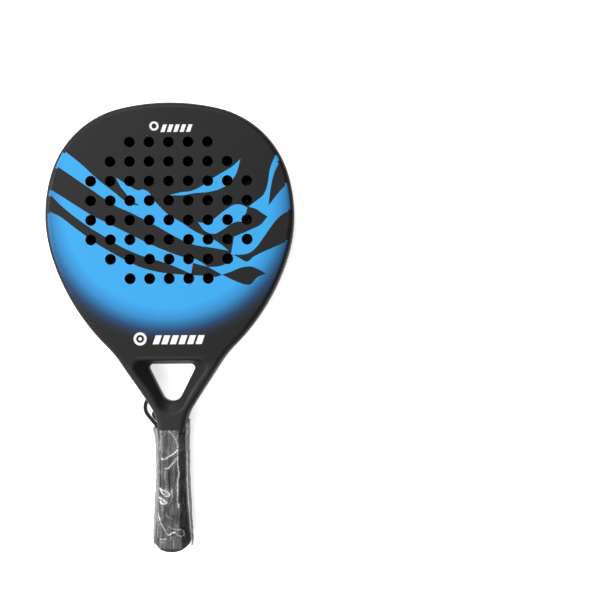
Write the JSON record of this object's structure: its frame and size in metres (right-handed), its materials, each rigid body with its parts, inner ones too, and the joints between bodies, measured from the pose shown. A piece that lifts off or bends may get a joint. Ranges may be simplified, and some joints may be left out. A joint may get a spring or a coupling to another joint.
{
  "type": "padel racket",
  "caption": "Teardrop padel racket with a drilled foam-core face, open triangular throat, cushioned octagonal grip in a clear sleeve, and a looped wrist cord.",
  "frame": {"origin": "middle of the racket's length and width, on the plane of its back face, on which it lies", "axes": "+Y towards the tip of the head, +X across the racket to the right of the front face, +Z out of the front face"},
  "size_m": [0.2514, 0.4601, 0.038],
  "materials": {
    "frame_lacquer": "satin black lacquer over fibre composite",
    "printed_face": "satin print in blue and black over fibre composite",
    "eva_foam": "closed-cell foam",
    "filler_foam": "rigid expanded foam",
    "cap_plastic": "fine moulded texture",
    "grip_cushion": "perforated cushioned tape",
    "band_vinyl": "vinyl tape",
    "cord_braid": "braided polyester",
    "clear_film": "thin clear film"
  },
  "bodies": {
    "root": {"frame_tube": "frame_lacquer", "throat_bridge": "frame_lacquer", "foam_core": "eva_foam", "handle_filler": "filler_foam", "front_face": "printed_face", "back_face": "printed_face", "butt_cap": "cap_plastic", "grip_tape": "grip_cushion", "finishing_band": "band_vinyl", "wrist_cord": "cord_braid", "cord_knot": "cord_braid", "grip_film": "clear_film"}
  },
  "joints": []
}
